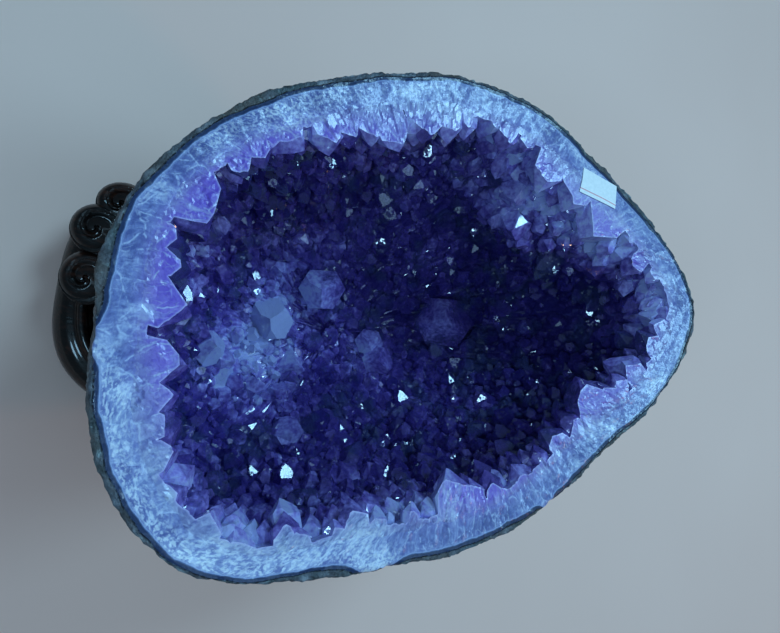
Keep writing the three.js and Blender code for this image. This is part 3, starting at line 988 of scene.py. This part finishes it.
def makeCrust(material):
    random = np.random.default_rng(crust["seed"])
    grown = bpy.data.collections.new("grown")
    scene.collection.children.link(grown)
    packedCrystals(crust["main"], random, grown)
    packedCrystals(crust["small"], random, grown)
    for row in crust["rimRows"]:
        rimRow(row, random, grown)
    for large, tintFrom, rollSpread in ((rimCrystals, 0.2, 0.2), (floorCrystals, -0.6, math.pi)):
        roots, tips, widths = (np.array(column, float) for column in zip(*large))
        tints = tintFrom + 0.6 * random.random(len(large))
        placedCrystals(roots, tips, widths, tints, rollSpread, random, grown)
    roots, tips, widths, turns = (np.array(column, float) for column in zip(*glintCrystals))
    placedCrystals(roots, tips, widths, 0 * widths + 0.5, 0, random, grown, np.radians(turns))
    ground = groundLayer(random)
    booleanMesh(ground, "UNION", grown)
    made = crustMould()
    booleanMesh(made, "INTERSECT", ground)
    for thing in (ground, *grown.objects):
        removeObject(thing)
    bpy.data.collections.remove(grown)
    mesh = made.data
    print("loose corners dropped:", keepLargestBody(mesh))
    points = pointsOf(mesh)
    theta, lat, inset = bodyPlace(points)
    rise = inset - liningRoot(theta, lat)
    fromFace = distanceFromGrownFaces(mesh, points)
    setAttribute(mesh, "violetAndPaintedShade", violetAndPaintedShade(points, theta, inset, rise, fromFace))
    setAttribute(mesh, "fromFace", fromFace)
    markGrowth(mesh, theta, lat, inset)
    made.name = mesh.name = "amethystCrust"
    mesh.materials.clear()
    mesh.materials.append(material)
    mesh.transform(stonePlace)
    mesh.shade_flat()
    return made


stoneShell = makeShell(rindAgateAndQuartz())
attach(stoneShell, "root")
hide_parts("geode_shell")
print("shell made:", len(stoneShell.data.polygons))

amethystCrust = makeCrust(amethyst())
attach(amethystCrust, "root")
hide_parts("amethyst_crust")
print("crust made:", len(amethystCrust.data.polygons))


# A small paper sticker on the sloping edge of the cut face, left bare
label = {
    "long": 20.5,
    "wide": 12.4,
    "thick": 0.25,
    "middle": (-70.0, 69.4),
    "turn": 79,
    "above": 0.15,
    "steps": (20, 12),
    "lineAt": 1.9,  # mm from the edge
    "spans": 12,  # rounds of smoothing, since paper spans the small hollows
}


def labelPaper():
    # Coated paper: smooth matt white, with a thin printed red line along its lower edge
    material, tree = newMaterial("labelPaper")
    across = addNode(tree, "Attribute", attribute_name="acrossLabel").outputs["Fac"]
    away = addNode(tree, "Math", {0: across, 1: label["lineAt"]}, operation="SUBTRACT")
    away = addNode(tree, "Math", {0: away}, operation="ABSOLUTE")
    line = addNode(tree, "MapRange", {
        "Value": away, "From Min": 0.2, "From Max": 0.32, "To Min": 0.7, "To Max": 0,
    })
    spot = addNode(tree, "TexCoord").outputs["Object"]
    pulp = addNode(tree, "TexNoise", {"Vector": spot, "Scale": 1 / (1.5 * mm), "Detail": 3.0})
    paper = addNode(tree, "ValToRGB", {"Fac": pulp}, ((0.3, "#E9ECEF"), (0.7, "#F7F8FA")))
    colour = addNode(tree, "Mix", {"Factor": line, 6: paper, 7: srgb("#D8506A")}, data_type="RGBA")
    finishMaterial(tree, {"Base Color": colour, "Roughness": 0.55})
    return material


def makeLabel(material):
    alongSteps, acrossSteps = label["steps"]
    long, wide = np.meshgrid(
        np.linspace(-0.5, 0.5, alongSteps + 1) * label["long"],
        np.linspace(-0.5, 0.5, acrossSteps + 1) * label["wide"], indexing="ij",
    )
    turn = math.radians(label["turn"])
    x = label["middle"][0] + long.ravel() * math.cos(turn) - wide.ravel() * math.sin(turn)
    y = label["middle"][1] + long.ravel() * math.sin(turn) + wide.ravel() * math.cos(turn)
    theta = np.arctan2(y, x)
    inset = rimRadius(theta) - np.hypot(x, y)
    under = cutHeight(theta, np.maximum(inset, 0)) + label["above"]
    under = under.reshape(alongSteps + 1, acrossSteps + 1)
    for _ in range(label["spans"]):
        under[1:-1] = np.maximum(under[1:-1], (under[:-2] + under[2:]) / 2)
        under[:, 1:-1] = np.maximum(under[:, 1:-1], (under[:, :-2] + under[:, 2:]) / 2)
    under = np.minimum(under.ravel(), -0.02)
    count = len(x)
    points = np.concatenate([np.stack([x, y, under], -1), np.stack([x, y, under + label["thick"]], -1)])
    at = lambda i, j: i * (acrossSteps + 1) + j
    faces = []
    for i in range(alongSteps):
        for j in range(acrossSteps):
            quad = (at(i, j), at(i + 1, j), at(i + 1, j + 1), at(i, j + 1))
            faces.append(tuple(k + count for k in quad))
            faces.append(tuple(reversed(quad)))
    edge = [at(i, 0) for i in range(alongSteps)]
    edge += [at(alongSteps, j) for j in range(acrossSteps)]
    edge += [at(i, acrossSteps) for i in range(alongSteps, 0, -1)]
    edge += [at(0, j) for j in range(acrossSteps, 0, -1)]
    for here, ahead in zip(edge, edge[1:] + edge[:1]):
        faces.append((here, ahead, ahead + count, here + count))
    made = addMesh("paperSticker", points, faces, stonePlace, material)
    setAttribute(made.data, "acrossLabel", np.tile(wide.ravel() + label["wide"] / 2, 2))
    return made


paperSticker = makeLabel(labelPaper())
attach(paperSticker, "root")
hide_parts("paper_label")
print("label made")


# The stand: an oval base with a raised bead, and four cloud brackets carved with scrolls
stand = {
    "halfWidth": 71,
    "halfLength": 112,
    "squareness": 3,
    "profile": [  # inset and height, up over the round shoulder and the bead
        (2.5, 0), (0, 2.5), (0, 11), (1.6, 16.5), (5.5, 20.8), (10, 22.5), (11.3, 25.5), (13.5, 26.5),
        (15.7, 25.5), (17, 22),
    ],
    "sides": 256,
    "steps": 5,  # between two points of the profile
    "gap": 0.3,
    "seat": ((0, -21, 42), (27, 21, 34)),  # middle and radii, +Y outwards
    "lobes": [((-20, 5, 36), (15, 15, 14)), ((5, 4, 42), (14, 15, 15)), ((20, -5, 46), (12, 14, 13))],
    "feet": [
        ("front", (-32, -121), -90), ("left", (-66, -16), 180),
        ("back", (-6, 64), 90), ("right", (48, -42), 0),
    ],
    "lobeEye": (-0.15, 0.28, 0.95),  # where a scroll's eye faces, +Y outwards
    "seatEye": (0.1, 0.93, 0.1),
    "scrollTurns": 1.9,
    "scrollReach": 88,  # degrees from the eye of a scroll to its outer end
    "scrollFade": 0.2,  # radians, at that end
    # Place and half width in shares of the pitch, and depth in mm
    "grooves": [(0.5, 0.15, 1.9), (0.78, 0.07, 0.9)],
    "flattened": 2.4,  # mm off the top round the eye
    "flatReach": 0.75,  # radians
    "inside": 0.4,  # mm that the lobes are held inside the solid ones
    "sharpFrom": 40,  # degrees
}


def polishedBlackwood():
    # Dark hardwood, carved, stained near black and lacquered: faint red-brown grain under a glossy coat
    material, tree = newMaterial("polishedBlackwood")
    spot = addNode(tree, "TexCoord").outputs["Object"]
    along = addNode(tree, "VectorMath", {0: spot, 1: (1, 0.07, 1)}, operation="MULTIPLY")
    grain, shade = addNodes(
        tree, "TexNoise", (*noiseInputs, "Distortion"),
        (along, 1 / (1.6 * mm), 5, 0.4), (along, 1 / (14 * mm), 2),
    )
    mixed = addNode(tree, "Math", {0: shade, 1: 0.6, 2: grain}, operation="MULTIPLY_ADD")
    colour = addNode(tree, "ValToRGB", {"Fac": mixed}, (
        (0.6, "#0A0606"), (0.78, "#140B09"), (0.9, "#26130E"), (1.0, "#3A1E15"),
    ))
    pores = addNode(tree, "MapRange", {"Value": grain, "From Min": 0.35, "From Max": 0.5})
    height = addNode(tree, "Math", {0: pores, 1: 0.06 * mm}, operation="MULTIPLY")
    rough = addNode(tree, "MapRange", {"Value": shade, "To Min": 0.24, "To Max": 0.42})
    finishMaterial(tree, {
        "Base Color": colour, "Roughness": rough, "IOR": 1.5, "Specular IOR Level": 0.15,
        "Coat Weight": 0.5, "Coat Roughness": 0.07,
    }, height)
    return material


def makeBase(name, sides, steps, grow=0, material=None):
    # To cut its neighbours the base is made fatter all over
    profile = np.array(stand["profile"], float)
    last = len(profile) - 1
    top = profile[:, 1].max()
    beadInset = profile[:, 0][profile[:, 1].argmax()]
    angle = allAround(sides)
    power = 2 / stand["squareness"]
    reachX, reachY = (np.sign(value) * np.abs(value) ** power for value in (np.cos(angle), np.sin(angle)))
    rings = []
    for i in np.arange(0, last + 0.5 / steps, 1 / steps):
        k = min(int(i), last - 1)
        near = (profile[min(max(k + step, 0), last)] for step in (-1, 0, 1, 2))
        inset, height = throughValues(*near, i - k)
        inset, height = max(inset, 0), min(max(height, 0), top)
        out = (-grow if inset > beadInset else grow) - inset
        rings.append(np.stack([
            standMiddle[0] + (stand["halfWidth"] + out) * reachX,
            standMiddle[1] + (stand["halfLength"] + out) * reachY,
            np.full(sides, height + (grow if height > 0 else -grow)),
        ], -1))
    first = [[*standMiddle, -grow]]
    final = [[*standMiddle, profile[-1][1] + grow]]
    place = standPlace if material else None
    return closedBody(name, first, rings, final, place, material, smooth=True)


def scrollLobe(middle, radii, eye, name):
    # A cloud lobe: rounded, a little flat on top, with a double-lined scroll carved round its eye
    work = bmesh.new()
    bmesh.ops.create_icosphere(work, subdivisions=6, radius=1)
    eye = Vector(eye).normalized()
    side = eye.cross(Vector((1, 0, 0))).normalized()
    ahead = side.cross(eye)
    reach = math.radians(stand["scrollReach"])
    pitch = reach / stand["scrollTurns"]
    fade = stand["scrollFade"]
    for point in work.verts:
        way = point.co.normalized()
        away = way.angle(eye)
        course = math.atan2(way.dot(ahead), way.dot(side)) / (2 * math.pi)
        place = away / pitch - course
        place -= math.floor(place)
        inReach = min(1, max(0, (reach + fade - away) / fade))
        cut = 0
        for spot, width, depth in stand["grooves"]:
            off = (place - spot) / width
            cut += depth * max(0, 1 - off * off) ** 1.3 * inReach
        cut += stand["flattened"] * math.exp(-((away / stand["flatReach"]) ** 4)) + stand["inside"]
        size = 1 - cut / min(radii)
        point.co = Vector([c * r * size for c, r in zip(way, radii)]) + Vector(middle)
    made = addMesh(name, [], [], None)
    work.to_mesh(made.data)
    work.free()
    return made


def stoneBlank():
    # The stone's outside as a solid, a little larger, to cut the brackets to its shape
    theta = allAround(180)
    rings = []
    for lat in np.linspace(bottomLat, 0, 49)[1:]:
        lat = np.full(len(theta), lat)
        rings.append(bodyPoint(theta, lat, -rindLumps(theta, lat) - stand["gap"]))
    place = standPlace.inverted() @ stonePlace
    return closedBody("stoneBlank", lowestPoint(-stand["gap"]), rings, [[0, 0, 0]], place)


def makeBracket(name, foot, turn, stoneSolid, ground, material):
    made = scrollLobe(*stand["seat"], stand["seatEye"], name)
    for i, (middle, radii) in enumerate(stand["lobes"]):
        lobe = scrollLobe(middle, radii, stand["lobeEye"], f"lobe{i}")
        booleanMesh(made, "UNION", lobe)
        removeObject(lobe)
    made.data.transform(Matrix.Translation((*foot, 0)) @ Matrix.Rotation(math.radians(turn - 90), 4, "Z"))
    booleanMesh(made, "DIFFERENCE", stoneSolid)
    booleanMesh(made, "DIFFERENCE", ground)
    mesh = made.data
    keepLargestBody(mesh)
    mesh.transform(standPlace)
    mesh.materials.clear()
    mesh.materials.append(material)
    mesh.shade_smooth()
    mesh.set_sharp_from_angle(angle=math.radians(stand["sharpFrom"]))
    return made


wood = polishedBlackwood()
standBase = makeBase("standBase", stand["sides"], stand["steps"], material=wood)
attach(standBase, "root")
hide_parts("stand_base")
stoneSolid = stoneBlank()
ground = makeBase("ground", 120, 3, stand["gap"])
for side, foot, turn in stand["feet"]:
    bracket = makeBracket(side + "CloudBracket", foot, turn, stoneSolid, ground, wood)
    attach(bracket, "root")
    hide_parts("cloud_bracket_" + side)
removeObject(stoneSolid)
removeObject(ground)
print("stand made")


# Floor and studio light
studio = {
    "floorColours": ("#F0C6B8", "#F6CDBF"),
    "floorSize": 6,
    "skyColour": "#AAD6F5",
    "skyStrength": 0.2,
    "aim": (0, 0, -30),  # in the stone's frame
    "lights": [
        # name, direction from the stone, distance in m, size in m, watts, colour
        ("windowLight", (-0.44, 0.25, 0.86), 1.5, 0.47, 10, "#9FDEFF"),
        ("sideWindow", (-0.1, 0.85, 0.9), 1.5, 0.4, 6, "#9FDEFF"),
        ("ceilingLight", (0.25, 0.1, 1.0), 1.6, 1.0, 4, "#ACDFFF"),
        ("nearLight", (0.38, -0.85, 0.8), 0.62, 0.12, 0.75, "#A6DCFF"),
        ("warmLamp", (0.35, 0.9, 0.8), 1.6, 0.16, 1.2, "#FFC890"),
    ],
}


def paleFloor():
    # Matt painted board: pale, with a faint unevenness
    material, tree = newMaterial("paleFloor")
    spot = addNode(tree, "TexCoord").outputs["Object"]
    uneven = addNode(tree, "TexNoise", {"Vector": spot, "Scale": 3.0, "Detail": 3.0})
    colour = addNode(tree, "ValToRGB", {"Fac": uneven}, tuple(zip((0.3, 0.7), studio["floorColours"])))
    finishMaterial(tree, {"Base Color": colour, "Roughness": 0.7})
    return material


def makeStudio():
    half = studio["floorSize"] / 2
    corners = [(-half, -half, 0), (half, -half, 0), (half, half, 0), (-half, half, 0)]
    addMesh("floor", corners, [(0, 1, 2, 3)], None, paleFloor())
    scene.world = bpy.data.worlds.new("studio")
    scene.world.use_nodes = True
    sky = scene.world.node_tree.nodes["Background"]
    sky.inputs["Color"].default_value = srgb(studio["skyColour"])
    sky.inputs["Strength"].default_value = studio["skyStrength"]
    aim = stonePlace @ Vector(studio["aim"])
    for name, way, distance, size, watts, colour in studio["lights"]:
        data = bpy.data.lights.new(name, "AREA")
        data.shape = "DISK"
        data.size = size
        data.energy = watts
        data.color = srgb(colour)[:3]
        lamp = bpy.data.objects.new(name, data)
        scene.collection.objects.link(lamp)
        lamp.location = aim + Vector(way).normalized() * distance
        lamp.rotation_mode = "QUATERNION"
        lamp.rotation_quaternion = Vector(way).to_track_quat("Z", "Y")


makeStudio()
print("studio set")
